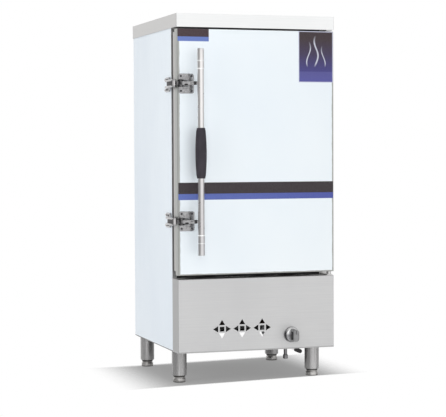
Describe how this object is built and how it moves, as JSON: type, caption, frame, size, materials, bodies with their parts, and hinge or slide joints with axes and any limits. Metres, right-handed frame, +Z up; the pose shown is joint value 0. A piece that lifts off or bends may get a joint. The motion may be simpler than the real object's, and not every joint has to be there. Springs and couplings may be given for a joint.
{
  "type": "gas steam cabinet",
  "caption": "Tall insulated cabinet with one latched door and tray rails over a water tank and gas burner, on four round legs.",
  "frame": {"origin": "on the floor under the middle of the overall box, latch keeper to cap and handle to rear pipe ends", "axes": "+Z up, +Y from the door to the back, +X to the right as seen from the front"},
  "size_m": [0.7284, 0.8184, 1.55],
  "materials": {
    "film_steel": "brushed stainless under a clear protective film",
    "cap_steel": "fine brushed stainless",
    "stainless": "brushed stainless",
    "inner_steel": "plain stainless sheet",
    "frame_paint": "grey paint",
    "cast_burner": "rough cast",
    "brass": "turned",
    "copper_ball": "plain copper",
    "chrome": "polished",
    "black_grip": "matt, ribbed",
    "dark_plastic": "matt",
    "silicone": "matt",
    "mineral_wool": "matt wool",
    "printed_film": "printed, satin",
    "foot_metal": "satin",
    "pipe_steel": "zinc plated"
  },
  "bodies": {
    "cabinet": {"side_panel_left": "film_steel", "side_panel_right": "film_steel", "back_panel": "stainless", "top_cap": "cap_steel", "front_frame": "stainless", "base_frame": "frame_paint", "legs": "stainless", "leg_bolts": "pipe_steel", "chamber_liner": "inner_steel", "chamber_insulation": "mineral_wool", "rack_posts": "inner_steel", "tray_rails": "inner_steel", "steam_plate": "inner_steel", "water_tank": "inner_steel", "flame_skirt": "inner_steel", "flue_duct": "inner_steel", "flue_collar": "stainless", "burner_bars": "cast_burner", "burner_manifold": "cast_burner", "gas_inlet_pipe": "pipe_steel", "valve_outlet_pipe": "pipe_steel", "gas_valve_body": "brass", "pilot_burner": "brass", "knob_bezel": "chrome", "level_box": "inner_steel", "float_valve": "brass", "water_inlet_pipe": "pipe_steel", "drain_pipe": "stainless", "drain_cock": "stainless", "lower_front_panel": "film_steel", "hinge_brackets": "stainless", "hinge_pins": "stainless", "latch_keepers": "chrome", "cabinet_screws": "chrome", "keeper_roller_pins": "chrome"},
    "door": {"door_skin": "film_steel", "door_inner_pan": "inner_steel", "door_insulation": "mineral_wool", "door_gasket": "silicone", "door_stickers": "printed_film", "hinge_bushes": "brass", "latch_bases": "chrome", "latch_screws": "chrome", "latch_pivot_pins": "chrome"},
    "handle": {"latch_levers": "chrome", "latch_neck_nuts": "dark_plastic", "handle_tube": "chrome", "handle_sleeves": "chrome", "handle_grip": "black_grip"},
    "knob_push_collar": {"push_collar": "brass"},
    "gas_knob": {"gas_knob": "chrome"},
    "float_arm": {"float_arm": "copper_ball"},
    "drain_lever": {"drain_lever": "stainless", "drain_lever_sleeve": "dark_plastic"},
    "lower_keeper_roller": {"keeper_roller_lower": "chrome"},
    "upper_keeper_roller": {"keeper_roller_upper": "chrome"},
    "foot_front_left": {"foot_front_left": "foot_metal"},
    "foot_back_left": {"foot_back_left": "foot_metal"},
    "foot_front_right": {"foot_front_right": "foot_metal"},
    "foot_back_right": {"foot_back_right": "foot_metal"}
  },
  "joints": [
    {"name": "door_hinge", "type": "hinge", "parent": "cabinet", "child": "door", "pos_m": [0.34822, -0.30075, 0.9755], "axis": [0, 0, 1], "range_deg": [0, 180]},
    {"name": "latch_handle_turn", "type": "hinge", "parent": "door", "child": "handle", "pos_m": [-0.32678, -0.35575, 0.975], "axis": [0, 0, -1], "range_deg": [0, 70]},
    {"name": "lower_keeper_roller_spin", "type": "hinge", "parent": "cabinet", "child": "lower_keeper_roller", "pos_m": [-0.35622, -0.35675, 0.69], "axis": [0, 0, 1], "continuous": true},
    {"name": "upper_keeper_roller_spin", "type": "hinge", "parent": "cabinet", "child": "upper_keeper_roller", "pos_m": [-0.35622, -0.35675, 1.26], "axis": [0, 0, 1], "continuous": true},
    {"name": "gas_knob_push", "type": "slide", "parent": "cabinet", "child": "knob_push_collar", "axis": [0, 1, 0], "range_m": [0, 0.004], "stiffness_N_per_m": 1500, "springref_m": -0.003},
    {"name": "gas_knob_turn", "type": "hinge", "parent": "knob_push_collar", "child": "gas_knob", "pos_m": [0.16622, -0.32575, 0.2], "axis": [0, -1, 0], "range_deg": [0, 180]},
    {"name": "float_arm_swing", "type": "hinge", "parent": "cabinet", "child": "float_arm", "pos_m": [-0.29578, 0.19825, 0.455], "axis": [-1, 0, 0], "range_deg": [0, 28]},
    {"name": "drain_lever_turn", "type": "hinge", "parent": "cabinet", "child": "drain_lever", "pos_m": [0.19522, -0.19575, 0.138], "axis": [0, 1, 0], "range_deg": [0, 90]},
    {"name": "foot_front_left_turn", "type": "hinge", "parent": "cabinet", "child": "foot_front_left", "pos_m": [-0.28778, -0.17975, 0.03], "axis": [0, 0, 1], "continuous": true},
    {"name": "foot_back_left_turn", "type": "hinge", "parent": "cabinet", "child": "foot_back_left", "pos_m": [-0.28778, 0.33825, 0.03], "axis": [0, 0, 1], "continuous": true},
    {"name": "foot_front_right_turn", "type": "hinge", "parent": "cabinet", "child": "foot_front_right", "pos_m": [0.31622, -0.17975, 0.03], "axis": [0, 0, 1], "continuous": true},
    {"name": "foot_back_right_turn", "type": "hinge", "parent": "cabinet", "child": "foot_back_right", "pos_m": [0.31622, 0.33825, 0.03], "axis": [0, 0, 1], "continuous": true}
  ]
}
